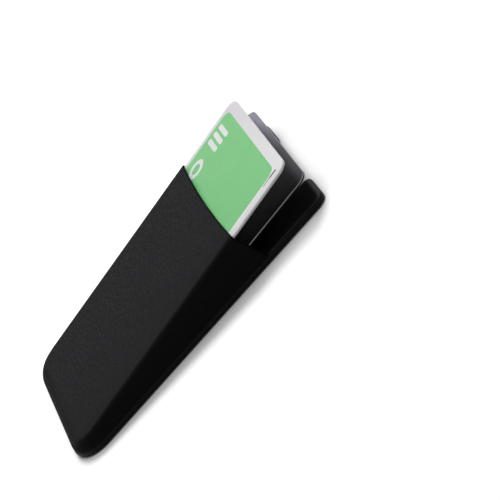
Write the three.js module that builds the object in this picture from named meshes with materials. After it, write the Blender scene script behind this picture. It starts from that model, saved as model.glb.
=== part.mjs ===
// Stick-on card pouch lying on its adhesive face: x across, y towards the mouth, z up, in millimetres.
import * as THREE from "three";

// Bank cards
const cardWidth = 54;
const cardLength = 85.6;
const cardThickness = 0.76;
const cardCornerRadius = 3.18;
const restGap = 0.05;
const cardRoll = THREE.MathUtils.degToRad(1);
const rearCardTilt = THREE.MathUtils.degToRad(3.05);
const rearCardTail = -39.7;
const frontCardTilt = THREE.MathUtils.degToRad(6.55);
const frontCardTail = -40.2;

// Base plate and the adhesive sheet under it
const adhesiveThickness = 0.3;
const adhesiveInset = 1.6;
const plateBesideCard = 1.8;
const plateWidth = cardWidth + 2 * plateBesideCard;
const plateLength = 90;
const plateThickness = 1.5;
const mouthCornerRadius = 3.4;
const tailCornerRadius = 9.4;
const plateEdgeWidth = 1.1;
const plateEdgeDrop = 0.8;

// Thumb notch in the plate's mouth end
const notchWidth = 29;
const notchDepth = 10.5;
const notchLipRadius = 2;
const notchFootRadius = 7;

// Stretch pouch
const fabricThickness = 0.4;
const fabricOverCard = 0.25;
const footInset = 0.45;
const gussetLean = 0.3;
const shoulderWidth = 1.6;
const shoulderDrop = 1.4;
const tailShoulderWidth = 5;
const tailDropShare = 0.9;
const tailBlendPower = 6;
const mouthFootY = 25;
const lipMiddleY = 21.8;
const lipScoop = 0.9;

// Fineness of the round stretches
const cornerSteps = 12;
const smallArcSteps = 8;
const edgeSteps = 5;
const sideSteps = 8;
const gussetSteps = 4;
const shoulderSteps = 7;
const lipSteps = 16;

const plateBottom = adhesiveThickness;
const plateTop = plateBottom + plateThickness;
const quarterTurn = Math.PI / 2;

// Points of an arc about (x, y), from one angle to another
function arc(x, y, radius, start, end, steps) {
  return Array.from({ length: steps + 1 }, (_, i) => {
    const angle = start + ((end - start) * i) / steps;
    return new THREE.Vector2(x + radius * Math.cos(angle), y + radius * Math.sin(angle));
  });
}

// Anticlockwise outline of the plate with its notch, moved inwards by inset
function plateOutline(inset) {
  const halfWidth = plateWidth / 2;
  const halfLength = plateLength / 2;
  const mouthX = halfWidth - mouthCornerRadius;
  const mouthY = halfLength - mouthCornerRadius;
  const tailX = halfWidth - tailCornerRadius;
  const tailY = halfLength - tailCornerRadius;
  const lipX = notchWidth / 2 + notchLipRadius;
  const lipY = halfLength - notchLipRadius;
  const footX = notchWidth / 2 - notchFootRadius;
  const footY = halfLength - notchDepth + notchFootRadius;
  const mouthRadius = mouthCornerRadius - inset;
  const tailRadius = tailCornerRadius - inset;
  const lipRadius = notchLipRadius - inset;
  const footRadius = notchFootRadius + inset;
  return [
    ...arc(mouthX, mouthY, mouthRadius, 0, quarterTurn, smallArcSteps),
    ...arc(lipX, lipY, lipRadius, quarterTurn, 2 * quarterTurn, smallArcSteps),
    ...arc(footX, footY, footRadius, 0, -quarterTurn, smallArcSteps),
    ...arc(-footX, footY, footRadius, -quarterTurn, -2 * quarterTurn, smallArcSteps),
    ...arc(-lipX, lipY, lipRadius, 0, quarterTurn, smallArcSteps),
    ...arc(-mouthX, mouthY, mouthRadius, quarterTurn, 2 * quarterTurn, smallArcSteps),
    ...arc(-tailX, -tailY, tailRadius, 2 * quarterTurn, 3 * quarterTurn, cornerSteps),
    ...arc(tailX, -tailY, tailRadius, 3 * quarterTurn, 4 * quarterTurn, cornerSteps),
  ];
}

function roundedRectangle(width, length, radius) {
  const x = width / 2 - radius;
  return [
    ...arc(x, length - radius, radius, 0, quarterTurn, smallArcSteps),
    ...arc(-x, length - radius, radius, quarterTurn, 2 * quarterTurn, smallArcSteps),
    ...arc(-x, radius, radius, 2 * quarterTurn, 3 * quarterTurn, smallArcSteps),
    ...arc(x, radius, radius, 3 * quarterTurn, 4 * quarterTurn, smallArcSteps),
  ];
}

// Collects triangles of one closed skin
class Skin {
  constructor() {
    this.corners = [];
  }

  triangle(a, b, c) {
    this.corners.push(a.x, a.y, a.z, b.x, b.y, b.z, c.x, c.y, c.z);
  }

  // Band between two rows of points that run the same way
  band(lower, upper) {
    for (let i = 0; i + 1 < lower.length; i += 1) {
      this.triangle(lower[i], upper[i], upper[i + 1]);
      this.triangle(lower[i], upper[i + 1], lower[i + 1]);
    }
  }

  // Flat face inside a loop that is anticlockwise from above, facing up or down
  face(loop, up) {
    for (const [i, j, k] of THREE.ShapeUtils.triangulateShape(loop, [])) {
      const [a, b, c] = [loop[i], loop[j], loop[k]];
      const turn = (b.x - a.x) * (c.y - a.y) - (b.y - a.y) * (c.x - a.x);
      if (turn > 0 === up) {
        this.triangle(a, b, c);
      } else {
        this.triangle(a, c, b);
      }
    }
  }

  // Solid between stacked anticlockwise loops, the lowest first
  stack(loops) {
    for (let i = 0; i + 1 < loops.length; i += 1) {
      this.band([...loops[i + 1], loops[i + 1][0]], [...loops[i], loops[i][0]]);
    }
    this.face(loops[0], false);
    this.face(loops[loops.length - 1], true);
  }

  geometry() {
    const geometry = new THREE.BufferGeometry();
    geometry.setAttribute("position", new THREE.Float32BufferAttribute(this.corners, 3));
    geometry.computeVertexNormals();
    return geometry;
  }
}

const atHeight = (points, z) => points.map((p) => new THREE.Vector3(p.x, p.y, z));

// Fall of the plate's rounded edge at a distance inwards from its outline
function edgeFall(inset) {
  const run = Math.max(0, 1 - inset / plateEdgeWidth);
  return plateEdgeDrop * (1 - Math.sqrt(1 - run * run));
}

function adhesiveSheet() {
  const skin = new Skin();
  const outline = plateOutline(adhesiveInset);
  skin.stack([atHeight(outline, 0), atHeight(outline, adhesiveThickness)]);
  return skin.geometry();
}

function basePlate() {
  const skin = new Skin();
  const loops = [atHeight(plateOutline(0), plateBottom)];
  for (let i = 0; i <= edgeSteps; i += 1) {
    const inset = plateEdgeWidth * (1 - Math.cos((quarterTurn * i) / edgeSteps));
    loops.push(atHeight(plateOutline(inset), plateTop - edgeFall(inset)));
  }
  skin.stack(loops);
  return skin.geometry();
}

// Pose of a card from its tail end's middle, tilted towards the mouth and rolled about its length
function cardPose(tailY, tailZ, tilt) {
  const turn = new THREE.Matrix4().makeRotationX(tilt).multiply(new THREE.Matrix4().makeRotationY(-cardRoll));
  return new THREE.Matrix4().makeTranslation(0, tailY, tailZ).multiply(turn);
}

function card(pose) {
  const skin = new Skin();
  const outline = roundedRectangle(cardWidth, cardLength, cardCornerRadius);
  skin.stack([atHeight(outline, 0), atHeight(outline, cardThickness)]);
  return skin.geometry().applyMatrix4(pose);
}

const rollRise = (cardWidth / 2) * Math.tan(cardRoll);
const rearTailZ = plateTop + restGap + rollRise;
const rearPose = cardPose(rearCardTail, rearTailZ, rearCardTilt);
const frontTailZ = rearTailZ + cardThickness / Math.cos(rearCardTilt) + restGap;
const frontPose = cardPose(frontCardTail, frontTailZ, frontCardTilt);

// Height of a plane that lies a distance in front of the front card's underside
function frontHeight(x, y, distance) {
  const point = new THREE.Vector3(0, 0, distance).applyMatrix4(frontPose);
  const normal = new THREE.Vector3(0, 0, 1).transformDirection(frontPose);
  return point.z - (normal.x * (x - point.x) + normal.y * (y - point.y)) / normal.z;
}

const lipY = (x) => lipMiddleY + lipScoop * (x / (cardWidth / 2)) ** 2;

// Points and outward directions along the plate's sides and tail, from the right of the mouth to its left
function stations(mouthY) {
  const tailX = plateWidth / 2 - tailCornerRadius;
  const tailY = plateLength / 2 - tailCornerRadius;
  const list = [];
  for (let i = 0; i < sideSteps; i += 1) {
    const y = mouthY - ((mouthY + tailY) * i) / sideSteps;
    list.push({ x: plateWidth / 2, y, out: new THREE.Vector2(1, 0) });
  }
  for (let i = 0; i <= cornerSteps; i += 1) {
    const angle = (-quarterTurn * i) / cornerSteps;
    const out = new THREE.Vector2(Math.cos(angle), Math.sin(angle));
    list.push({ x: tailX + tailCornerRadius * out.x, y: tailCornerRadius * out.y - tailY, out });
  }
  const mirrored = list.map((s) => ({ x: -s.x, y: s.y, out: new THREE.Vector2(-s.out.x, s.out.y) }));
  return [...list, ...mirrored.reverse()];
}

// One face of the fabric: its rows from the foot to the front, and the lip between the front row's ends
function pouchFace(depth) {
  const frontDistance = cardThickness + fabricOverCard + fabricThickness - depth;
  const place = (station, inset) => ({
    x: station.x - station.out.x * inset,
    y: station.y - station.out.y * inset,
  });
  const tailShare = (station) => station.out.y ** tailBlendPower;
  const leanOf = (station) => gussetLean * station.out.x ** 2;
  const shoulderOf = (station) => {
    return THREE.MathUtils.lerp(shoulderWidth, tailShoulderWidth, tailShare(station)) - depth;
  };
  const dropOf = (station, p) => {
    const rise = frontHeight(p.x, p.y, frontDistance + depth) - plateTop;
    return THREE.MathUtils.lerp(shoulderDrop, tailDropShare * rise, tailShare(station)) - depth;
  };
  const footEnd = footInset + depth;
  const footZ = plateTop - edgeFall(footEnd) + restGap;
  const shoulderX = plateWidth / 2 - footEnd - gussetLean;
  const rows = [];
  for (let i = 0; i < gussetSteps; i += 1) {
    const share = i / gussetSteps;
    const mouthY = THREE.MathUtils.lerp(mouthFootY, lipY(shoulderX), share);
    rows.push(stations(mouthY).map((station) => {
      const top = place(station, footEnd + leanOf(station));
      const topZ = frontHeight(top.x, top.y, frontDistance) - dropOf(station, top);
      const p = place(station, footEnd + leanOf(station) * share);
      return new THREE.Vector3(p.x, p.y, THREE.MathUtils.lerp(footZ, topZ, share));
    }));
  }
  for (let i = 0; i <= shoulderSteps; i += 1) {
    const angle = (quarterTurn * i) / shoulderSteps;
    const run = 1 - Math.cos(angle);
    const mouthY = lipY(shoulderX - (shoulderWidth - depth) * run);
    rows.push(stations(mouthY).map((station) => {
      const p = place(station, footEnd + leanOf(station) + shoulderOf(station) * run);
      const z = frontHeight(p.x, p.y, frontDistance) - dropOf(station, p) * (1 - Math.sin(angle));
      return new THREE.Vector3(p.x, p.y, z);
    }));
  }
  const front = rows[rows.length - 1];
  const [right, left] = [front[0], front[front.length - 1]];
  const lip = [];
  for (let i = 1; i < lipSteps; i += 1) {
    const x = THREE.MathUtils.lerp(right.x, left.x, i / lipSteps);
    lip.push(new THREE.Vector3(x, lipY(x), frontHeight(x, lipY(x), frontDistance)));
  }
  const mouth = [
    ...rows.map((row) => row[0]),
    ...lip,
    ...rows.map((row) => row[row.length - 1]).reverse(),
  ];
  return { rows, mouth, cap: [...[...front].reverse(), ...lip] };
}

function stretchPouch() {
  const skin = new Skin();
  const outer = pouchFace(0);
  const inner = pouchFace(fabricThickness);
  for (let i = 0; i + 1 < outer.rows.length; i += 1) {
    skin.band(outer.rows[i], outer.rows[i + 1]);
    skin.band(inner.rows[i + 1], inner.rows[i]);
  }
  skin.face(outer.cap, true);
  skin.face(inner.cap, false);
  skin.band(outer.mouth, inner.mouth);
  skin.band(inner.rows[0], outer.rows[0]);
  return skin.geometry();
}

function piece(name, geometry, color, roughness) {
  const mesh = new THREE.Mesh(geometry, new THREE.MeshStandardMaterial({ color, roughness }));
  mesh.name = name;
  return mesh;
}

const holder = new THREE.Group();
holder.name = "card_holder";
holder.add(piece("adhesive_sheet", adhesiveSheet(), 0x9a9ca0, 0.6));
holder.add(piece("base_plate", basePlate(), 0x101013, 0.45));
holder.add(piece("rear_card", card(rearPose), 0x6b6870, 0.3));
holder.add(piece("front_card", card(frontPose), 0xe9e8ec, 0.3));
holder.add(piece("stretch_pouch", stretchPouch(), 0x2b2b2d, 0.9));

export default holder;
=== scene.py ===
import math

import bmesh
import bpy
from mathutils import Matrix, Vector


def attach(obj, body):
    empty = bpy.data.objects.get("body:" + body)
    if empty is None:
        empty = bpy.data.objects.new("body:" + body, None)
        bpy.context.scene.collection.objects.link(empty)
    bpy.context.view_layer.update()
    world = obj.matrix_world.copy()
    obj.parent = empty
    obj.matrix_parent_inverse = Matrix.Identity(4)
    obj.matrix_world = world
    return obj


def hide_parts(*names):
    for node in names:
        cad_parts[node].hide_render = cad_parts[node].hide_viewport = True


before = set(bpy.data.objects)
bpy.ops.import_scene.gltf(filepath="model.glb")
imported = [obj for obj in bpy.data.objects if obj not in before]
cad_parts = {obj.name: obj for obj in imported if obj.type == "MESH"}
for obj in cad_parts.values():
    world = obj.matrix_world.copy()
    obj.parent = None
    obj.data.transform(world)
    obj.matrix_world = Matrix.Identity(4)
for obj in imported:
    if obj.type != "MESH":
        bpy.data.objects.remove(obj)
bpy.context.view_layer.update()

mm = 0.001
quarterTurn = math.pi / 2
weldDistance = 0.01 * mm
# where most of a noise's values lie
noiseRange = (0.3, 0.7)


# Mesh helpers

def arc(x, y, radius, start, end, steps):
    points = []
    for i in range(steps + 1):
        angle = start + (end - start) * i / steps
        points.append(Vector((x + radius * math.cos(angle), y + radius * math.sin(angle))))
    return points


def blendTo(a, b, share):
    return a + (b - a) * share


def linkObject(name, data):
    thing = bpy.data.objects.new(name, data)
    bpy.context.scene.collection.objects.link(thing)
    return thing


def softShade(mesh, degrees):
    for polygon in mesh.polygons:
        polygon.use_smooth = True
    mesh.set_sharp_from_angle(angle=math.radians(degrees))


def bakeModifiers(thing):
    # the evaluated shape takes the place of the modifiers
    evaluated = thing.evaluated_get(bpy.context.evaluated_depsgraph_get())
    mesh = bpy.data.meshes.new_from_object(evaluated)
    thing.modifiers.clear()
    old = thing.data
    thing.data = mesh
    bpy.data.meshes.remove(old)
    mesh.name = thing.name


def addBevel(thing, width, segments, degrees):
    bevel = thing.modifiers.new("softEdges", "BEVEL")
    bevel.width = width
    bevel.segments = segments
    bevel.limit_method = "ANGLE"
    bevel.angle_limit = math.radians(degrees)


# Shader helpers

def node(tree, kind, **values):
    made = tree.nodes.new(kind)
    for name, value in values.items():
        setattr(made, name, value)
    return made


def wire(tree, source, target):
    tree.links.new(source, target)


def compute(tree, operation, first, second=None, third=None, clamp=False):
    # one Math node, its inputs numbers or sockets
    made = node(tree, "ShaderNodeMath", operation=operation, use_clamp=clamp)
    for index, value in enumerate((first, second, third)):
        if value is None:
            continue
        if isinstance(value, (int, float)):
            made.inputs[index].default_value = value
        else:
            wire(tree, value, made.inputs[index])
    return made.outputs[0]


def mixColour(tree, share, first, second):
    made = node(tree, "ShaderNodeMix", data_type="RGBA")
    # inputs 6 and 7 are the two colours
    for index, value in ((0, share), (6, first), (7, second)):
        socket = made.inputs[index]
        if isinstance(value, (int, float)):
            socket.default_value = value
        elif isinstance(value, tuple):
            socket.default_value = (*value, 1)
        else:
            wire(tree, value, socket)
    return made.outputs[2]


def fitRange(tree, value, low, high, newLow=0.0, newHigh=1.0):
    made = node(tree, "ShaderNodeMapRange")
    wire(tree, value, made.inputs["Value"])
    ends = {"From Min": low, "From Max": high, "To Min": newLow, "To Max": newHigh}
    for name, number in ends.items():
        made.inputs[name].default_value = number
    return made.outputs["Result"]


def newGroup(name, inputs, outputs):
    # inputs and outputs are (name, kind, start value)
    tree = bpy.data.node_groups.new(name, "ShaderNodeTree")
    for title, kind, start in inputs:
        socket = tree.interface.new_socket(title, in_out="INPUT", socket_type="NodeSocket" + kind)
        if start is not None:
            socket.default_value = start
    for title, kind in outputs:
        tree.interface.new_socket(title, in_out="OUTPUT", socket_type="NodeSocket" + kind)
    return tree, node(tree, "NodeGroupInput").outputs, node(tree, "NodeGroupOutput").inputs


def place(tree, group, vector, **values):
    made = node(tree, "ShaderNodeGroup", node_tree=group)
    wire(tree, vector, made.inputs["Vector"])
    for name, value in values.items():
        made.inputs[name].default_value = value
    return made.outputs


def newMaterial(name):
    material = bpy.data.materials.new(name)
    material.use_nodes = True
    tree = material.node_tree
    return material, tree, tree.nodes["Principled BSDF"]


def planVector(tree):
    # the piece's own flat plan in millimetres
    return node(tree, "ShaderNodeUVMap", uv_map="plan").outputs["UV"]


def planParts(tree, plan):
    split = node(tree, "ShaderNodeSeparateXYZ")
    wire(tree, plan, split.inputs[0])
    return split.outputs["X"], split.outputs["Y"]


def attributeValue(tree, name):
    return node(tree, "ShaderNodeAttribute", attribute_name=name).outputs["Fac"]


def objectVector(tree):
    # the object's own coordinates in millimetres
    mapping = node(tree, "ShaderNodeMapping")
    mapping.inputs["Scale"].default_value = (1 / mm, 1 / mm, 1 / mm)
    wire(tree, node(tree, "ShaderNodeTexCoord").outputs["Object"], mapping.inputs["Vector"])
    return mapping.outputs["Vector"]


def addBump(tree, shader, height, strength, distance):
    bump = node(tree, "ShaderNodeBump")
    bump.inputs["Strength"].default_value = strength
    bump.inputs["Distance"].default_value = distance
    wire(tree, height, bump.inputs["Height"])
    wire(tree, bump.outputs["Normal"], shader.inputs["Normal"])


def mottled(tree, vector, size, fineShare):
    return place(tree, mottle, vector, Size=size, **{"Fine Share": fineShare})["Value"]


def addGrain(tree, shader, vector, size, fineShare, strength, depth):
    addBump(tree, shader, mottled(tree, vector, size, fineShare), strength, depth * mm)


def spreadRoughness(tree, shader, noise, settings):
    # the noise carries the roughness some way below and above its set value
    below, above = settings["roughSpread"]
    low, high = settings["roughness"] - below, settings["roughness"] + above
    wire(tree, fitRange(tree, noise, *noiseRange, low, high), shader.inputs["Roughness"])


# Mottling: two layers of noise, as a value about one half
def makeMottle():
    tree, given, result = newGroup(
        "mottle",
        [("Vector", "Vector", None), ("Size", "Float", 1.0), ("Fine Share", "Float", 0.5)],
        [("Value", "Float")],
    )
    coarse = node(tree, "ShaderNodeTexNoise")
    fine = node(tree, "ShaderNodeTexNoise")
    finePitch = 4.3
    pitch = compute(tree, "DIVIDE", 1.0, given["Size"])
    wire(tree, pitch, coarse.inputs["Scale"])
    wire(tree, compute(tree, "MULTIPLY", pitch, finePitch), fine.inputs["Scale"])
    coarse.inputs["Detail"].default_value = 2
    fine.inputs["Detail"].default_value = 3
    for noise in (coarse, fine):
        wire(tree, given["Vector"], noise.inputs["Vector"])
    blend = node(tree, "ShaderNodeMix")
    wire(tree, given["Fine Share"], blend.inputs[0])
    wire(tree, coarse.outputs["Fac"], blend.inputs[2])
    wire(tree, fine.outputs["Fac"], blend.inputs[3])
    wire(tree, blend.outputs[0], result["Value"])
    return tree


# Plain knit: columns of small stitches leaning both ways from the column's middle,
# with a tone of its own for each stitch and for each cluster of stitches
def makeKnit():
    tree, given, result = newGroup(
        "plainKnit",
        [
            ("Vector", "Vector", None), ("Column", "Float", 0.4), ("Row", "Float", 0.3),
            ("Slant", "Float", 0.6), ("Cluster Size", "Float", 1.0),
        ],
        [("Height", "Float"), ("Stitch", "Float"), ("Cluster", "Float")],
    )
    x, y = planParts(tree, given["Vector"])
    columns = compute(tree, "DIVIDE", x, given["Column"])
    # nought in the middle of a column, one at its sides
    across = compute(tree, "MULTIPLY_ADD", compute(tree, "FRACT", columns), 2.0, -1.0)
    side = compute(tree, "ABSOLUTE", across)
    along = compute(tree, "DIVIDE", y, given["Row"])
    phase = compute(tree, "ADD", along, compute(tree, "MULTIPLY", side, given["Slant"]))
    loop = compute(tree, "SINE", compute(tree, "MULTIPLY", compute(tree, "FRACT", phase), math.pi))
    # full loops between narrow gaps
    swell = compute(tree, "SUBTRACT", 1.0, compute(tree, "POWER", side, 4.0))
    fullLoop = compute(tree, "POWER", loop, 0.7)
    wire(tree, compute(tree, "MULTIPLY", fullLoop, swell), result["Height"])
    cell = node(tree, "ShaderNodeCombineXYZ")
    cellX = compute(tree, "MULTIPLY", compute(tree, "FLOOR", columns), given["Column"])
    cellY = compute(tree, "MULTIPLY", compute(tree, "FLOOR", phase), given["Row"])
    wire(tree, cellX, cell.inputs["X"])
    wire(tree, cellY, cell.inputs["Y"])
    tone = node(tree, "ShaderNodeTexWhiteNoise", noise_dimensions="2D")
    wire(tree, cell.outputs[0], tone.inputs["Vector"])
    wire(tree, tone.outputs["Value"], result["Stitch"])
    cluster = node(tree, "ShaderNodeTexNoise", noise_dimensions="2D")
    wire(tree, cell.outputs[0], cluster.inputs["Vector"])
    wire(tree, compute(tree, "DIVIDE", 1.0, given["Cluster Size"]), cluster.inputs["Scale"])
    wire(tree, cluster.outputs["Fac"], result["Cluster"])
    return tree


# Printed field: one inside a rounded box in the plan, nought outside
def makePrintField():
    tree, given, result = newGroup(
        "printField",
        [
            ("Vector", "Vector", None), ("Middle", "Vector", (0, 0, 0)),
            ("Half Size", "Vector", (1, 1, 0)), ("Corner", "Float", 1.0), ("Softness", "Float", 0.04),
        ],
        [("Mask", "Float")],
    )
    offset = node(tree, "ShaderNodeVectorMath", operation="SUBTRACT")
    wire(tree, given["Vector"], offset.inputs[0])
    wire(tree, given["Middle"], offset.inputs[1])
    reach = node(tree, "ShaderNodeVectorMath", operation="ABSOLUTE")
    wire(tree, offset.outputs[0], reach.inputs[0])
    past = node(tree, "ShaderNodeVectorMath", operation="SUBTRACT")
    wire(tree, reach.outputs[0], past.inputs[0])
    wire(tree, given["Half Size"], past.inputs[1])
    pastX, pastY = planParts(tree, past.outputs[0])
    x = compute(tree, "ADD", pastX, given["Corner"])
    y = compute(tree, "ADD", pastY, given["Corner"])
    outX = compute(tree, "MAXIMUM", x, 0.0)
    outY = compute(tree, "MAXIMUM", y, 0.0)
    squareX = compute(tree, "MULTIPLY", outX, outX)
    squares = compute(tree, "MULTIPLY_ADD", outY, outY, squareX)
    inside = compute(tree, "MINIMUM", compute(tree, "MAXIMUM", x, y), 0.0)
    distance = compute(tree, "ADD", compute(tree, "SQRT", squares), inside)
    depth = compute(tree, "SUBTRACT", given["Corner"], distance)
    soft = compute(tree, "DIVIDE", depth, given["Softness"])
    wire(tree, compute(tree, "MULTIPLY_ADD", soft, 0.5, 0.5, clamp=True), result["Mask"])
    return tree


mottle = makeMottle()
plainKnit = makeKnit()
printField = makePrintField()

# Levels that more than one piece uses, in millimetres
plateTop = 1.8
restGap = 0.05

# Bank cards, in millimetres and degrees: the rear one near the plate, the front one under fabric
cardSize = {
    "width": 54,
    "length": 85.6,
    "thickness": 0.76,
    "corner": 3.18,
    "cornerSteps": 16,
    "edgeRound": 0.16,
    "edgeSegments": 3,
    "sharpAngle": 50,
    "smoothAngle": 40,
    "faceDepth": (0.1, 0.06),
}
cardPlace = {
    "roll": 1,
    "rearTail": -39.7,
    "rearTilt": 3.05,
    "frontTail": -40.2,
    "frontTilt": 6.55,
}


def cardPose(tailY, tailZ, tilt):
    tiltTurn = Matrix.Rotation(math.radians(tilt), 4, "X")
    rollTurn = Matrix.Rotation(-math.radians(cardPlace["roll"]), 4, "Y")
    return Matrix.Translation((0, tailY * mm, tailZ * mm)) @ tiltTurn @ rollTurn


rollRise = cardSize["width"] / 2 * math.tan(math.radians(cardPlace["roll"]))
rearTailZ = plateTop + restGap + rollRise
rearLift = cardSize["thickness"] / math.cos(math.radians(cardPlace["rearTilt"]))
frontTailZ = rearTailZ + rearLift + restGap
rearPose = cardPose(cardPlace["rearTail"], rearTailZ, cardPlace["rearTilt"])
frontPose = cardPose(cardPlace["frontTail"], frontTailZ, cardPlace["frontTilt"])


def makeCardTree():
    # a rounded rectangle from its tail end along Y, thickened upwards
    tree = bpy.data.node_groups.new("cardBlank", "GeometryNodeTree")
    interface = tree.interface
    for title in ("Width", "Length", "Thickness", "Corner"):
        interface.new_socket(title, in_out="INPUT", socket_type="NodeSocketFloat")
    interface.new_socket("Corner Steps", in_out="INPUT", socket_type="NodeSocketInt")
    interface.new_socket("Material", in_out="INPUT", socket_type="NodeSocketMaterial")
    interface.new_socket("Geometry", in_out="OUTPUT", socket_type="NodeSocketGeometry")
    given = node(tree, "NodeGroupInput").outputs
    result = node(tree, "NodeGroupOutput").inputs
    outline = node(tree, "GeometryNodeCurvePrimitiveQuadrilateral", mode="RECTANGLE")
    wire(tree, given["Width"], outline.inputs["Width"])
    wire(tree, given["Length"], outline.inputs["Height"])
    fillet = node(tree, "GeometryNodeFilletCurve", mode="POLY")
    wire(tree, outline.outputs[0], fillet.inputs["Curve"])
    wire(tree, given["Corner Steps"], fillet.inputs["Count"])
    wire(tree, given["Corner"], fillet.inputs["Radius"])
    shift = node(tree, "ShaderNodeCombineXYZ")
    wire(tree, compute(tree, "MULTIPLY", given["Length"], 0.5), shift.inputs["Y"])
    moved = node(tree, "GeometryNodeTransform")
    wire(tree, fillet.outputs[0], moved.inputs["Geometry"])
    wire(tree, shift.outputs[0], moved.inputs["Translation"])
    fill = node(tree, "GeometryNodeFillCurve", mode="NGONS")
    wire(tree, moved.outputs[0], fill.inputs[0])
    thicken = node(tree, "GeometryNodeExtrudeMesh", mode="FACES")
    wire(tree, fill.outputs[0], thicken.inputs["Mesh"])
    wire(tree, given["Thickness"], thicken.inputs["Offset Scale"])
    under = node(tree, "GeometryNodeFlipFaces")
    wire(tree, fill.outputs[0], under.inputs["Mesh"])
    both = node(tree, "GeometryNodeJoinGeometry")
    wire(tree, thicken.outputs["Mesh"], both.inputs[0])
    wire(tree, under.outputs[0], both.inputs[0])
    merged = node(tree, "GeometryNodeMergeByDistance")
    merged.inputs["Distance"].default_value = weldDistance
    wire(tree, both.outputs[0], merged.inputs["Geometry"])
    real = node(tree, "GeometryNodeRealizeInstances")
    wire(tree, merged.outputs[0], real.inputs[0])
    finish = node(tree, "GeometryNodeSetMaterial")
    wire(tree, real.outputs[0], finish.inputs["Geometry"])
    wire(tree, given["Material"], finish.inputs["Material"])
    wire(tree, finish.outputs[0], result["Geometry"])
    return tree


def setInput(modifier, title, value):
    for item in modifier.node_group.interface.items_tree:
        if item.item_type == "SOCKET" and item.in_out == "INPUT" and item.name == title:
            modifier[item.identifier] = value


cardTree = makeCardTree()


def makeCard(name, pose, material):
    thing = linkObject(name, bpy.data.meshes.new(name))
    blank = thing.modifiers.new("blank", "NODES")
    blank.node_group = cardTree
    setInput(blank, "Width", cardSize["width"] * mm)
    setInput(blank, "Length", cardSize["length"] * mm)
    setInput(blank, "Thickness", cardSize["thickness"] * mm)
    setInput(blank, "Corner", cardSize["corner"] * mm)
    setInput(blank, "Corner Steps", cardSize["cornerSteps"])
    setInput(blank, "Material", material)
    addBevel(thing, cardSize["edgeRound"] * mm, cardSize["edgeSegments"], cardSize["sharpAngle"])
    bakeModifiers(thing)
    plan = thing.data.uv_layers.new(name="plan")
    for loop in thing.data.loops:
        spot = thing.data.vertices[loop.vertex_index].co / mm
        plan.data[loop.index].uv = (spot.x, spot.y)
    heights = [point.co.z / mm for point in thing.data.vertices]
    thing.data.attributes.new("rise", "FLOAT", "POINT").data.foreach_set("value", heights)
    softShade(thing.data, cardSize["smoothAngle"])
    thing.data.transform(pose)
    return thing


def cardFaceMask(tree, rise):
    # one on the upper face, nought on the edge and back; rise is the height above the back
    low, high = (cardSize["thickness"] - depth for depth in cardSize["faceDepth"])
    return fitRange(tree, rise, low, high)


# Printed card: a green field in a white border, with white bars and a ring, and a thin black mark.
# Shapes are (x, y, half width, half length, corner) in the plan; a bar's corner is its half length,
# and the ring is (x, y, outer radius, inner radius).
cardPrint = {
    "white": (0.93, 0.92, 0.94),
    # painted shade on the border towards the upper left
    "shaded": (0.70, 0.68, 0.725),
    "green": (0.138, 0.585, 0.168),
    "ink": (0.03, 0.03, 0.035),
    "edge": (0.92, 0.91, 0.93),
    "field": (-0.7, 43.9, 24.3, 38.5, 2.6),
    "bars": [(-19.3, 78.0, 4.1, 0.75), (-19.3, 75.6, 4.1, 0.75), (-19.3, 73.2, 4.1, 0.75)],
    "ring": (-19.0, 65.6, 3.1, 1.7),
    "mark": [(24.35, 79.2, 0.19, 1.7, 0.1), (24.35, 81.5, 0.42, 1.3, 0.25)],
    "softness": 0.06,
    "shadedFrom": 58,
    "shadedTo": 108,
    "wearSize": 9.0,
    "wearFine": 0.35,
    "wearShare": 0.06,
    "wearTint": (0.45, 0.44, 0.47),
    "roughness": 0.36,
    "roughSpread": (0.06, 0.1),
    "glowThrough": 0.85,
    "glowDepth": 2,
    "grain": {"size": 0.5, "fineShare": 0.6, "strength": 0.12, "depth": 0.02},
}


def fieldMask(tree, plan, x, y, halfWidth, halfLength, corner, softness):
    sockets = place(
        tree, printField, plan, Middle=(x, y, 0), **{"Half Size": (halfWidth, halfLength, 0)},
        Corner=corner, Softness=softness,
    )
    return sockets["Mask"]


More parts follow.
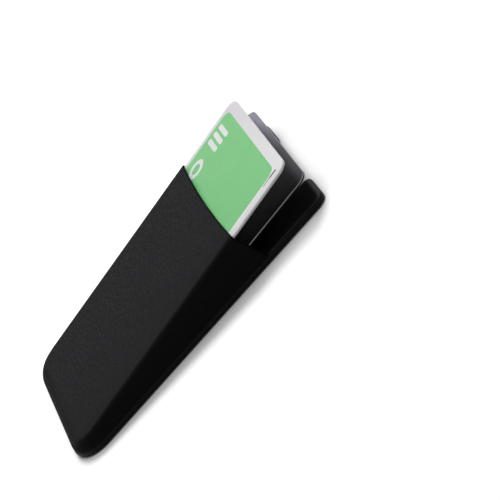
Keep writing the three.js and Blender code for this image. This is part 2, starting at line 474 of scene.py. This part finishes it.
def makePrintedCardMaterial():
    material, tree, shader = newMaterial("printedCard")
    plan = planVector(tree)
    soft = cardPrint["softness"]
    # painted shade: the border is greyer towards the upper left
    planX, planY = planParts(tree, plan)
    towards = compute(tree, "SUBTRACT", planY, planX)
    shade = fitRange(tree, towards, cardPrint["shadedFrom"], cardPrint["shadedTo"])
    border = mixColour(tree, shade, cardPrint["white"], cardPrint["shaded"])
    field = fieldMask(tree, plan, *cardPrint["field"], soft)
    colour = mixColour(tree, field, border, cardPrint["green"])
    shapes = [fieldMask(tree, plan, x, y, w, h, h, soft) for x, y, w, h in cardPrint["bars"]]
    x, y, outer, inner = cardPrint["ring"]
    disc = fieldMask(tree, plan, x, y, outer, outer, outer, soft)
    hole = fieldMask(tree, plan, x, y, inner, inner, inner, soft)
    shapes.append(compute(tree, "SUBTRACT", disc, hole, clamp=True))
    for shape in shapes:
        colour = mixColour(tree, shape, colour, cardPrint["white"])
    for mark in cardPrint["mark"]:
        colour = mixColour(tree, fieldMask(tree, plan, *mark, soft), colour, cardPrint["ink"])
    # the edge and the back are bare
    onFace = cardFaceMask(tree, attributeValue(tree, "rise"))
    colour = mixColour(tree, onFace, cardPrint["edge"], colour)
    wear = mottled(tree, plan, cardPrint["wearSize"], cardPrint["wearFine"])
    worn = fitRange(tree, wear, *noiseRange, 0.0, cardPrint["wearShare"])
    wire(tree, mixColour(tree, worn, colour, cardPrint["wearTint"]), shader.inputs["Base Color"])
    spreadRoughness(tree, shader, wear, cardPrint)
    # white plastic lets some light through its cut edge
    shader.inputs["Subsurface Weight"].default_value = cardPrint["glowThrough"]
    shader.inputs["Subsurface Radius"].default_value = (1.0, 1.0, 1.0)
    shader.inputs["Subsurface Scale"].default_value = cardPrint["glowDepth"] * mm
    addGrain(tree, shader, plan, **cardPrint["grain"])
    return material


# Smoked card: satin and dark, with a painted reflection pale at the upper left that darkens into
# painted shade across the card, and a painted highlight along the upper part of its cut edge
smokedCard = {
    # painted reflection, pale at the upper left, going over into painted shade across the card
    "pale": (0.300, 0.280, 0.345),
    "middle": (0.085, 0.078, 0.092),
    "low": (0.036, 0.034, 0.036),
    "dark": (0.003, 0.003, 0.003),
    "edge": (0.012, 0.012, 0.012),
    # painted highlight along the upper part of the cut edge
    "rimHighlight": (0.85, 0.85, 0.86),
    "rimHighlightFrom": 0.46,
    "rimHighlightBlend": 0.04,
    "downWeight": 2.0,
    "toMiddle": (10, 32),
    "toLow": (32, 56),
    "toDark": (58, 74),
    "cloudSize": 12.0,
    "cloudFine": 0.25,
    "cloudShare": 0.2,
    "roughness": 0.42,
    "roughSpread": (0.05, 0.08),
    "specular": 0.06,
    "grain": {"size": 0.4, "fineShare": 0.6, "strength": 0.15, "depth": 0.02},
}


def makeSmokedCardMaterial():
    material, tree, shader = newMaterial("smokedCard")
    plan = planVector(tree)
    x, y = planParts(tree, plan)
    # distance from the upper left corner, counted more down the card than across it
    below = compute(tree, "SUBTRACT", cardSize["length"], y)
    across = compute(tree, "ADD", x, cardSize["width"] / 2)
    travel = compute(tree, "MULTIPLY_ADD", below, smokedCard["downWeight"], across)
    # painted reflection at the upper left, darkening into painted shade down and across the card
    colour = smokedCard["pale"]
    for reach, tone in (("toMiddle", "middle"), ("toLow", "low"), ("toDark", "dark")):
        share = fitRange(tree, travel, *smokedCard[reach])
        colour = mixColour(tree, share, colour, smokedCard[tone])
    cloud = mottled(tree, plan, smokedCard["cloudSize"], smokedCard["cloudFine"])
    clouded = fitRange(tree, cloud, *noiseRange, 0.0, smokedCard["cloudShare"])
    colour = mixColour(tree, clouded, colour, smokedCard["dark"])
    # painted highlight: the upper part of the cut edge is pale
    rise = attributeValue(tree, "rise")
    rimHighlightFrom = smokedCard["rimHighlightFrom"]
    inRimHighlight = fitRange(tree, rise, rimHighlightFrom, rimHighlightFrom + smokedCard["rimHighlightBlend"])
    edge = mixColour(tree, inRimHighlight, smokedCard["edge"], smokedCard["rimHighlight"])
    wire(tree, mixColour(tree, cardFaceMask(tree, rise), edge, colour), shader.inputs["Base Color"])
    spreadRoughness(tree, shader, cloud, smokedCard)
    shader.inputs["Specular IOR Level"].default_value = smokedCard["specular"]
    addGrain(tree, shader, plan, **smokedCard["grain"])
    return material


rearCard = makeCard("rear_card_sheet", rearPose, makeSmokedCardMaterial())
frontCard = makeCard("front_card_sheet", frontPose, makePrintedCardMaterial())
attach(rearCard, "root")
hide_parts("rear_card")
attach(frontCard, "root")
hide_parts("front_card")
print("cards made")

# Base plate, in millimetres: a little wider than the cards
sideMargin = 1.8
plate = {
    "width": cardSize["width"] + 2 * sideMargin,
    "length": 90,
    "bottom": 0.3,
    "mouthCorner": 3.4,
    "tailCorner": 9.4,
    "edgeWidth": 1.1,
    "edgeDrop": 0.8,
    "lowerEdge": 0.15,
    "underInset": 0.9,
    "flatMargin": 0.5,
    "notchWidth": 29,
    "notchDepth": 10.5,
    "notchLip": 2,
    "notchFoot": 7,
    "arcSteps": 18,
    "tailSteps": 28,
    "edgeSteps": 9,
    "smoothAngle": 50,
}
coatedBoard = {
    "colour": (0.0045, 0.0045, 0.0055),
    "worn": (0.012, 0.012, 0.014),
    "wearSize": 6.0,
    "wearFine": 0.4,
    "wearRange": (0.35, 0.75),
    "wearShare": 0.35,
    # painted highlight in a narrow band on the rounded edge
    "edgeHighlight": (0.060, 0.060, 0.064),
    "edgeHighlightShare": 0.8,
    "edgeHighlightStart": (0.4, 0.75),
    "edgeHighlightEnd": (0.9, 1.5),
    # painted shade on the outermost edge
    "outer": (0.0012, 0.0012, 0.0015),
    "outerShadeEnd": (0.25, 0.55),
    "roughness": 0.44,
    "roughSpread": (0.06, 0.1),
    "specular": 0.09,
    "grain": {"size": 0.35, "fineShare": 0.5, "strength": 0.25, "depth": 0.03},
}


def plateOutline(inset):
    # anticlockwise from the right of the mouth end
    halfWidth, halfLength = plate["width"] / 2, plate["length"] / 2
    mouthX, mouthY = halfWidth - plate["mouthCorner"], halfLength - plate["mouthCorner"]
    tailX, tailY = halfWidth - plate["tailCorner"], halfLength - plate["tailCorner"]
    notchX = plate["notchWidth"] / 2 + plate["notchLip"]
    notchY = halfLength - plate["notchLip"]
    footX = plate["notchWidth"] / 2 - plate["notchFoot"]
    footY = halfLength - plate["notchDepth"] + plate["notchFoot"]
    q, steps = quarterTurn, plate["arcSteps"]
    mouth, tail = plate["mouthCorner"] - inset, plate["tailCorner"] - inset
    lip, foot = plate["notchLip"] - inset, plate["notchFoot"] + inset
    return (
        arc(mouthX, mouthY, mouth, 0, q, steps)
        + arc(notchX, notchY, lip, q, 2 * q, steps)
        + arc(footX, footY, foot, 0, -q, steps)
        + arc(-footX, footY, foot, -q, -2 * q, steps)
        + arc(-notchX, notchY, lip, 0, q, steps)
        + arc(-mouthX, mouthY, mouth, q, 2 * q, steps)
        + arc(-tailX, -tailY, tail, 2 * q, 3 * q, plate["tailSteps"])
        + arc(tailX, -tailY, tail, 3 * q, 4 * q, plate["tailSteps"])
    )


def edgeFall(inset):
    run = max(0.0, 1 - inset / plate["edgeWidth"])
    return plate["edgeDrop"] * (1 - math.sqrt(1 - run * run))


def makePlate(material):
    # (inset, height) from the underside round the edge to the flat top
    levels = [
        (plate["underInset"], plate["bottom"]),
        (plate["lowerEdge"], plate["bottom"]),
        (0, plate["bottom"] + plate["lowerEdge"]),
    ]
    for i in range(plate["edgeSteps"] + 1):
        inset = plate["edgeWidth"] * (1 - math.cos(quarterTurn * i / plate["edgeSteps"]))
        levels.append((inset, plateTop - edgeFall(inset)))
    levels.append((plate["edgeWidth"] + plate["flatMargin"], plateTop))
    work = bmesh.new()
    fromEdge = work.verts.layers.float.new("fromEdge")
    loops = []
    for inset, height in levels:
        ring = plateOutline(inset)
        loops.append([work.verts.new((spot.x * mm, spot.y * mm, height * mm)) for spot in ring])
        for point in loops[-1]:
            point[fromEdge] = inset
    for lower, upper in zip(loops, loops[1:]):
        count = len(lower)
        for i in range(count):
            j = (i + 1) % count
            work.faces.new((lower[i], lower[j], upper[j], upper[i]))
    work.faces.new(list(reversed(loops[0])))
    work.faces.new(loops[-1])
    plan = work.loops.layers.uv.new("plan")
    for face in work.faces:
        for corner in face.loops:
            corner[plan].uv = corner.vert.co.xy / mm
    mesh = bpy.data.meshes.new("base_board")
    work.to_mesh(mesh)
    work.free()
    mesh.materials.append(material)
    softShade(mesh, plate["smoothAngle"])
    return linkObject("base_board", mesh)


def makePlateMaterial():
    material, tree, shader = newMaterial("coatedBoard")
    spots = objectVector(tree)
    rub = mottled(tree, spots, coatedBoard["wearSize"], coatedBoard["wearFine"])
    wear = fitRange(tree, rub, *coatedBoard["wearRange"], 0.0, coatedBoard["wearShare"])
    colour = mixColour(tree, wear, coatedBoard["colour"], coatedBoard["worn"])
    # painted highlight: the rounded edge is pale in a narrow band; painted shade: black outside it
    edge = attributeValue(tree, "fromEdge")
    edgeHighlightStart = fitRange(tree, edge, *coatedBoard["edgeHighlightStart"])
    edgeHighlightEnd = fitRange(tree, edge, *coatedBoard["edgeHighlightEnd"], 1.0, 0.0)
    band = compute(tree, "MULTIPLY", edgeHighlightStart, edgeHighlightEnd)
    edgeHighlight = compute(tree, "MULTIPLY", band, coatedBoard["edgeHighlightShare"])
    colour = mixColour(tree, edgeHighlight, colour, coatedBoard["edgeHighlight"])
    outside = fitRange(tree, edge, *coatedBoard["outerShadeEnd"], 1.0, 0.0)
    colour = mixColour(tree, outside, colour, coatedBoard["outer"])
    wire(tree, colour, shader.inputs["Base Color"])
    spreadRoughness(tree, shader, rub, coatedBoard)
    shader.inputs["Specular IOR Level"].default_value = coatedBoard["specular"]
    addGrain(tree, shader, spots, **coatedBoard["grain"])
    return material


baseBoard = makePlate(makePlateMaterial())
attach(baseBoard, "root")
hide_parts("base_plate")
print("plate made")

# Adhesive sheet: its solid stays and takes a tacky rubbery finish
adhesive = {
    "colour": (0.33, 0.34, 0.35),
    "dull": (0.25, 0.26, 0.27),
    "dullShare": 0.8,
    "cloudSize": 3.5,
    "cloudFine": 0.45,
    "roughness": 0.38,
    "roughSpread": (0.1, 0.1),
    "relief": 0.3,
    "reliefDepth": 0.05,
}


def makeAdhesiveMaterial():
    material, tree, shader = newMaterial("tackyGel")
    cloud = mottled(tree, objectVector(tree), adhesive["cloudSize"], adhesive["cloudFine"])
    share = fitRange(tree, cloud, *noiseRange, 0.0, adhesive["dullShare"])
    colour = mixColour(tree, share, adhesive["colour"], adhesive["dull"])
    wire(tree, colour, shader.inputs["Base Color"])
    spreadRoughness(tree, shader, cloud, adhesive)
    addBump(tree, shader, cloud, adhesive["relief"], adhesive["reliefDepth"] * mm)
    return material


tackyGel = makeAdhesiveMaterial()
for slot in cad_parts["adhesive_sheet"].material_slots:
    slot.material = tackyGel
print("adhesive finished")

# Stretch pouch, in millimetres
pouch = {
    "fabric": 0.4,
    "overCard": 0.25,
    "footInset": 0.45,
    "lean": 0.3,
    "shoulderWidth": 1.6,
    "shoulderDrop": 1.4,
    "tailShoulderWidth": 5,
    "tailDropShare": 0.9,
    "tailPower": 6,
    "mouthFootY": 25,
    "lipMiddleY": 21.8,
    "lipScoop": 0.9,
    "gussetSag": 0.03,
    "cornerPull": 0.65,
    "rimSwell": 0.12,
    "sideSteps": 70,
    "sideCrowding": 1.4,
    "cornerSteps": 26,
    "acrossSteps": 44,
    "gussetSteps": 12,
    "shoulderSteps": 12,
    "flatInset": 7.3,
    "flatShares": (0.2, 0.55, 1),
    "lipFadeSteps": 26,
    "sideBlend": 4,
    "smoothAngle": 60,
}
fabric = {
    "yarn": (0.0034, 0.0034, 0.0042),
    # the knit's gaps and random dimming, and the tone of the painted shade at the bend
    "gapAndShade": (0.0040, 0.0040, 0.0050),
    "lint": (0.0415, 0.0415, 0.0445),
    "stitchShare": 0.52,
    "clusterRange": (0.42, 0.58),
    "gapRise": 0.6,
    "broadSize": 14.0,
    "broadFine": 0.2,
    "broadRange": (0.35, 0.65),
    "broadShare": 0.12,
    # painted shade: the tone the fabric darkens to towards the right
    "paintedShade": (0.0105, 0.0105, 0.0122),
    "acrossShadeShare": 0.62,
    "sideShade": 0.64,
    "sideShadeWidth": 7,
    "flankFlecks": 0.5,
    "flankRange": (0.2, 1.0),
    "cluster": 0.78,
    "bendShade": 0.75,
    "bendStart": (0.3, 0.8),
    "bendEnd": (0.88, 1.0),
    # the lip's dark cut edge, with painted shade
    "cutEdgeAndShade": (0.0006, 0.0006, 0.0006),
    "cutEdgeShadeRange": (0.2, 0.5),
    "column": 0.34,
    "row": 0.27,
    "roughness": 0.86,
    "roughSpread": 0.06,
    "specular": 0.05,
    "sheen": 0.02,
    "sheenRoughness": 0.5,
    "relief": 0.6,
    "reliefDepth": 0.06,
}


def frontHeight(x, y, distance):
    # height of the plane that lies a distance in front of the front card's underside
    point = frontPose @ Vector((0, 0, distance * mm)) / mm
    normal = frontPose.to_3x3() @ Vector((0, 0, 1))
    return point.z - (normal.x * (x - point.x) + normal.y * (y - point.y)) / normal.z


def lipY(x):
    return pouch["lipMiddleY"] + pouch["lipScoop"] * (x / (cardSize["width"] / 2)) ** 2


def rightStations(mouthY):
    # points and outward directions down the right side and round the tail's right corner
    tailX = plate["width"] / 2 - plate["tailCorner"]
    tailY = plate["length"] / 2 - plate["tailCorner"]
    stations = []
    for i in range(pouch["sideSteps"]):
        share = i / pouch["sideSteps"]
        # closer together near the mouth
        y = mouthY - (mouthY + tailY) * share ** pouch["sideCrowding"]
        stations.append((plate["width"] / 2, y, Vector((1, 0))))
    for i in range(pouch["cornerSteps"] + 1):
        angle = -quarterTurn * i / pouch["cornerSteps"]
        out = Vector((math.cos(angle), math.sin(angle)))
        x, y = tailX + plate["tailCorner"] * out.x, plate["tailCorner"] * out.y - tailY
        stations.append((x, y, out))
    return stations


def rowStations(mouthY):
    # a whole row: down the right side, along the tail and up the left side
    right = rightStations(mouthY)
    left = [(-x, y, Vector((-out.x, out.y))) for x, y, out in reversed(right)]
    start, end = right[-1][0], left[0][0]
    tail = []
    for i in range(1, pouch["acrossSteps"]):
        tail.append((blendTo(start, end, i / pouch["acrossSteps"]), right[-1][1], Vector((0, -1))))
    return right + tail + left


def tailShare(out):
    # nought along the sides, one along the tail
    return out.y ** pouch["tailPower"]


def cornerPull(out):
    # the cards' corner draws the fabric out at the left of the tail
    return 4 * pouch["cornerPull"] * (out.x * out.y) ** 2 if out.x < 0 else 0.0


def faceRows(depth):
    # rows from the foot up; each item is the spot, its inset, the outward direction, its distance
    # from the mouth and its share of front. The outer skin has depth 0, the inner one the fabric's.
    frontDistance = cardSize["thickness"] + pouch["overCard"] + pouch["fabric"] - depth
    footEnd = pouch["footInset"] + depth
    footZ = plateTop - edgeFall(footEnd) + restGap
    shoulderX = plate["width"] / 2 - footEnd - pouch["lean"]

    def leanOf(out):
        return pouch["lean"] * out.x ** 2

    def shoulderOf(out):
        return blendTo(pouch["shoulderWidth"], pouch["tailShoulderWidth"], tailShare(out)) - depth

    def dropOf(out, x, y):
        rise = frontHeight(x, y, frontDistance + depth) - plateTop
        tailDrop = pouch["tailDropShare"] * rise
        return blendTo(pouch["shoulderDrop"], tailDrop, tailShare(out)) - depth

    rows = []
    for i in range(pouch["gussetSteps"]):
        share = i / pouch["gussetSteps"]
        mouthY = blendTo(pouch["mouthFootY"], lipY(shoulderX), share)
        row = []
        for x, y, out in rowStations(mouthY):
            full = footEnd + leanOf(out)
            topX, topY = x - out.x * full, y - out.y * full
            topZ = frontHeight(topX, topY, frontDistance) - dropOf(out, topX, topY)
            sag = pouch["gussetSag"] * (topZ - footZ) * math.sin(math.pi * share) * out.x ** 2
            inset = footEnd + leanOf(out) * share + sag - cornerPull(out) * share
            z = blendTo(footZ, topZ, share)
            spot = Vector((x - out.x * inset, y - out.y * inset, z))
            row.append((spot, inset, out, mouthY - y, 0.0))
        rows.append(row)
    for i in range(pouch["shoulderSteps"] + 1):
        angle = quarterTurn * i / pouch["shoulderSteps"]
        run = 1 - math.cos(angle)
        mouthY = lipY(shoulderX - (pouch["shoulderWidth"] - depth) * run)
        row = []
        for x, y, out in rowStations(mouthY):
            inset = footEnd + leanOf(out) + shoulderOf(out) * run - cornerPull(out)
            px, py = x - out.x * inset, y - out.y * inset
            z = frontHeight(px, py, frontDistance) - dropOf(out, px, py) * (1 - math.sin(angle))
            row.append((Vector((px, py, z)), inset, out, mouthY - y, math.sin(angle)))
        rows.append(row)
    for share in pouch["flatShares"]:
        sideBendEnd = footEnd + pouch["lean"] + pouch["shoulderWidth"] - depth
        sideInset = blendTo(sideBendEnd, pouch["flatInset"], share)
        mouthY = lipY(plate["width"] / 2 - sideInset)
        row = []
        for x, y, out in rowStations(mouthY):
            bendEnd = footEnd + leanOf(out) + shoulderOf(out) - cornerPull(out)
            inset = blendTo(bendEnd, pouch["flatInset"], share)
            px, py = x - out.x * inset, y - out.y * inset
            z = frontHeight(px, py, frontDistance)
            row.append((Vector((px, py, z)), inset, out, mouthY - y, 1.0))
        rows.append(row)
    return rows, frontDistance


def unrolledPlans(rows):
    # the rows' places with gussets and bends unrolled outwards from the flat front
    bend = pouch["gussetSteps"] + pouch["shoulderSteps"]
    reach = [0.0] * len(rows[0])
    plans = [[(spot.x, spot.y) for spot, *rest in row] for row in rows]
    for k in range(bend - 1, -1, -1):
        for i, (spot, inset, out, distance, front) in enumerate(rows[k]):
            reach[i] += (rows[k + 1][i][0] - spot).length
            outward = reach[i] - (rows[bend][i][1] - inset)
            plans[k][i] = (spot.x + out.x * outward, spot.y + out.y * outward)
    return plans


def frontRungs(edge, frontDistance):
    # the flat front inside its edge row, as rungs from the right side to the left
    count, across = len(rightStations(0)), pouch["acrossSteps"]
    travel = [0.0]
    for before, after in zip(edge[:count], edge[1:count]):
        travel.append(travel[-1] + (after[0] - before[0]).length)
    rungs = []
    for i in range(count - 1):
        start, end = edge[i][0], edge[-1 - i][0]
        fade = max(0.0, 1 - i / pouch["lipFadeSteps"])
        rung = []
        for j in range(1, across):
            x = blendTo(start.x, end.x, j / across)
            beside = start.y + (lipY(x) - lipY(start.x)) * fade
            within = blendTo(lipY(x), edge[count - 1][0].y, travel[i] / travel[-1])
            inner = min(1.0, pouch["sideBlend"] * min(j, across - j) / across)
            y = blendTo(beside, within, inner)
            rung.append(Vector((x, y, frontHeight(x, y, frontDistance))))
        rungs.append(rung)
    return rungs


def makePouch(material):
    spots, plans, fromLip, onFront, faces = [], [], [], [], []

    def addSpot(spot, plan, distance, front=1.0):
        spots.append(spot * mm)
        plans.append(plan)
        fromLip.append(distance)
        onFront.append(front)
        return len(spots) - 1

    def band(lower, upper):
        for i in range(len(lower) - 1):
            faces.append((lower[i], upper[i], upper[i + 1], lower[i + 1]))

    def addFace(depth):
        rows, frontDistance = faceRows(depth)
        grid = []
        for row, plan in zip(rows, unrolledPlans(rows)):
            grid.append([addSpot(item[0], at, item[3], item[4]) for item, at in zip(row, plan)])
        rungs = []
        for i, points in enumerate(frontRungs(rows[-1], frontDistance)):
            inner = [addSpot(spot, (spot.x, spot.y), lipY(spot.x) - spot.y) for spot in points]
            rungs.append([grid[-1][i], *inner, grid[-1][-1 - i]])
        tailFrom = len(rungs)
        rungs.append(grid[-1][tailFrom:tailFrom + pouch["acrossSteps"] + 1])
        # the mouth's edge from the right foot over the front to the left foot
        rise = [row[0] for row in grid[:-1]]
        fall = [row[-1] for row in reversed(grid[:-1])]
        mouth = rise + rungs[0] + fall
        return grid, rungs, mouth

    outer, outerRungs, outerMouth = addFace(0)
    inner, innerRungs, innerMouth = addFace(pouch["fabric"])
    for k in range(len(outer) - 1):
        band(outer[k], outer[k + 1])
        band(inner[k + 1], inner[k])
    for i in range(len(outerRungs) - 1):
        for j in range(pouch["acrossSteps"]):
            a, b = outerRungs[i], outerRungs[i + 1]
            faces.append((a[j], a[j + 1], b[j + 1], b[j]))
            a, b = innerRungs[i], innerRungs[i + 1]
            faces.append((b[j], b[j + 1], a[j + 1], a[j]))
    # the cut edge swells between its two skins
    swell = Vector((0, pouch["rimSwell"], 0))
    rim = []
    for a, b in zip(outerMouth, innerMouth):
        rim.append(addSpot((spots[a] + spots[b]) / (2 * mm) + swell, plans[a], 0.0, onFront[a]))
    band(outerMouth, rim)
    band(rim, innerMouth)
    band(inner[0], outer[0])
    faces.append((outerMouth[0], innerMouth[0], rim[0]))
    faces.append((outerMouth[-1], rim[-1], innerMouth[-1]))
    mesh = bpy.data.meshes.new("stretch_cloth")
    mesh.from_pydata(spots, [], faces)
    plan = mesh.uv_layers.new(name="plan")
    for loop in mesh.loops:
        plan.data[loop.index].uv = plans[loop.vertex_index]
    mesh.attributes.new("fromLip", "FLOAT", "POINT").data.foreach_set("value", fromLip)
    mesh.attributes.new("onFront", "FLOAT", "POINT").data.foreach_set("value", onFront)
    mesh.materials.append(material)
    softShade(mesh, pouch["smoothAngle"])
    return linkObject("stretch_cloth", mesh)


def makeFabricMaterial():
    material, tree, shader = newMaterial("stretchKnit")
    plan = planVector(tree)
    knit = place(
        tree, plainKnit, plan, Column=fabric["column"], Row=fabric["row"],
        **{"Cluster Size": fabric["cluster"]},
    )
    broad = mottled(tree, plan, fabric["broadSize"], fabric["broadFine"])
    front = attributeValue(tree, "onFront")
    # heathered yarn: pale stitches in clusters, fewer of them on the flanks
    clusters = fitRange(tree, knit["Cluster"], *fabric["clusterRange"])
    clustered = compute(tree, "MULTIPLY", clusters, 1 - fabric["stitchShare"])
    flecks = compute(tree, "MULTIPLY_ADD", knit["Stitch"], fabric["stitchShare"], clustered)
    fewer = fitRange(tree, front, *fabric["flankRange"], fabric["flankFlecks"], 1.0)
    flecks = compute(tree, "MULTIPLY", flecks, fewer)
    colour = mixColour(tree, flecks, fabric["yarn"], fabric["lint"])
    inGap = fitRange(tree, knit["Height"], 0.0, fabric["gapRise"])
    colour = mixColour(tree, inGap, fabric["gapAndShade"], colour)
    dimmed = fitRange(tree, broad, *fabric["broadRange"], 0.0, fabric["broadShare"])
    colour = mixColour(tree, dimmed, colour, fabric["gapAndShade"])
    # painted shade: the fabric darkens across towards the right, more so on the right flank and the
    # front beside it
    x, y = planParts(tree, plan)
    halfWidth = plate["width"] / 2
    acrossShade = fitRange(tree, x, -halfWidth, halfWidth, 0.0, fabric["acrossShadeShare"])
    colour = mixColour(tree, acrossShade, colour, fabric["paintedShade"])
    sideEnd = halfWidth - pouch["footInset"] - pouch["shoulderWidth"]
    side = fitRange(tree, x, sideEnd - fabric["sideShadeWidth"], sideEnd, 0.0, fabric["sideShade"])
    colour = mixColour(tree, side, colour, fabric["paintedShade"])
    # painted shade where the front bends into the flank
    bendStart = fitRange(tree, front, *fabric["bendStart"])
    bendEnd = fitRange(tree, front, *fabric["bendEnd"], 1.0, 0.0)
    bend = compute(tree, "MULTIPLY", bendStart, bendEnd)
    bendShade = compute(tree, "MULTIPLY", bend, fabric["bendShade"])
    colour = mixColour(tree, bendShade, colour, fabric["gapAndShade"])
    # darker along the lip: the fabric's dark cut edge, and painted shade
    cutAndShade = fitRange(tree, attributeValue(tree, "fromLip"), *fabric["cutEdgeShadeRange"], 1.0, 0.0)
    colour = mixColour(tree, cutAndShade, colour, fabric["cutEdgeAndShade"])
    wire(tree, colour, shader.inputs["Base Color"])
    low = fabric["roughness"] - fabric["roughSpread"]
    high = fabric["roughness"] + fabric["roughSpread"]
    wire(tree, fitRange(tree, knit["Stitch"], 0.0, 1.0, low, high), shader.inputs["Roughness"])
    shader.inputs["Specular IOR Level"].default_value = fabric["specular"]
    shader.inputs["Sheen Weight"].default_value = fabric["sheen"]
    shader.inputs["Sheen Roughness"].default_value = fabric["sheenRoughness"]
    addBump(tree, shader, knit["Height"], fabric["relief"], fabric["reliefDepth"] * mm)
    return material


stretchCloth = makePouch(makeFabricMaterial())
clothArea = sum(face.area for face in stretchCloth.data.polygons) / 2
print("pouch made, area", round(clothArea * 1e6), "mm2")
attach(stretchCloth, "root")
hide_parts("stretch_pouch")

# Studio, in metres: pale floor, soft lamps, and the photograph's camera
studio = {
    "floorHalf": 2.5,
    "floorDrop": 0.05 * mm,
    "floorSeen": 0.86,
    "floorGlow": 0.50,
    "contactReach": 0.012,
    "contactRange": (0.35, 1.0),
    "contactSamples": 8,
    "floorBounce": 0.26,
    "ambient": 0.21,
    "keyPlace": (-0.42, 0.16, 0.62),
    "keySize": 0.34,
    "keyPower": 4.7,
    "fillPlace": (0.30, 0.42, 0.50),
    "fillSize": 0.5,
    "fillPower": 0.3,
    "target": (0, -0.005, 0.005),
}
# The camera's place is in millimetres, its focal length in the photograph's pixels
view = {
    "place": (588.3, 90.65, 268.1),
    "right": (0.2498, 0.6634, -0.7054),
    "up": (-0.3558, 0.7404, 0.5703),
    "focalPixels": 2562.2,
    "picturePixels": 500,
    "sensor": 36,
    "clipStart": 0.01,
    "clipEnd": 20,
}


def seenDirectly(tree):
    # one for the rays that show the background: from the camera, in gloss and through glass
    rays = node(tree, "ShaderNodeLightPath").outputs
    seen = compute(tree, "ADD", rays["Is Camera Ray"], rays["Is Glossy Ray"])
    return compute(tree, "ADD", seen, rays["Is Transmission Ray"], clamp=True)


def plainDiffuse(tree, level):
    shader = node(tree, "ShaderNodeBsdfDiffuse")
    shader.inputs["Color"].default_value = (level, level, level, 1)
    return shader.outputs[0]


def makeFloor():
    half = studio["floorHalf"]
    mesh = bpy.data.meshes.new("floor")
    corners = [(-half, -half), (half, -half), (half, half), (-half, half)]
    mesh.from_pydata([(x, y, -studio["floorDrop"]) for x, y in corners], [], [(0, 1, 2, 3)])
    material = bpy.data.materials.new("paleFloor")
    material.use_nodes = True
    tree = material.node_tree
    tree.nodes.clear()
    nearness = node(tree, "ShaderNodeAmbientOcclusion", samples=studio["contactSamples"])
    nearness.inputs["Distance"].default_value = studio["contactReach"]
    # the glow fades where the object stands close
    openness = nearness.outputs["AO"]
    strength = fitRange(tree, openness, *studio["contactRange"], 0.0, studio["floorGlow"])
    glow = node(tree, "ShaderNodeEmission")
    wire(tree, strength, glow.inputs["Strength"])
    bright = node(tree, "ShaderNodeAddShader")
    wire(tree, plainDiffuse(tree, studio["floorSeen"]), bright.inputs[0])
    wire(tree, glow.outputs[0], bright.inputs[1])
    either = node(tree, "ShaderNodeMixShader")
    wire(tree, seenDirectly(tree), either.inputs[0])
    wire(tree, plainDiffuse(tree, studio["floorBounce"]), either.inputs[1])
    wire(tree, bright.outputs[0], either.inputs[2])
    wire(tree, either.outputs[0], node(tree, "ShaderNodeOutputMaterial").inputs["Surface"])
    mesh.materials.append(material)
    return linkObject("floor", mesh)


def makeWorld():
    world = bpy.data.worlds.new("studio")
    bpy.context.scene.world = world
    world.use_nodes = True
    tree = world.node_tree
    tree.nodes.clear()
    sky = node(tree, "ShaderNodeBackground")
    strength = fitRange(tree, seenDirectly(tree), 0, 1, studio["ambient"], 1.0)
    wire(tree, strength, sky.inputs["Strength"])
    wire(tree, sky.outputs[0], node(tree, "ShaderNodeOutputWorld").inputs["Surface"])


def makeLamp(name, position, size, power):
    lamp = bpy.data.lights.new(name, "AREA")
    lamp.shape = "DISK"
    lamp.size = size
    lamp.energy = power
    thing = linkObject(name, lamp)
    thing.location = position
    towards = Vector(studio["target"]) - Vector(position)
    thing.rotation_euler = towards.to_track_quat("-Z", "Y").to_euler()


def makeCamera():
    camera = bpy.data.cameras.new("camera")
    camera.sensor_width = view["sensor"]
    camera.lens = view["focalPixels"] / view["picturePixels"] * view["sensor"]
    camera.clip_start = view["clipStart"]
    camera.clip_end = view["clipEnd"]
    thing = linkObject("camera", camera)
    right = Vector(view["right"]).normalized()
    up = Vector(view["up"])
    up = (up - right * up.dot(right)).normalized()
    back = right.cross(up)
    turn = Matrix((right, up, back)).transposed().to_4x4()
    thing.matrix_world = Matrix.Translation(Vector(view["place"]) * mm) @ turn
    bpy.context.scene.camera = thing


makeFloor()
makeWorld()
makeLamp("keyLamp", studio["keyPlace"], studio["keySize"], studio["keyPower"])
makeLamp("fillLamp", studio["fillPlace"], studio["fillSize"], studio["fillPower"])
makeCamera()
bpy.context.scene.view_settings.view_transform = "Standard"
print("studio made")
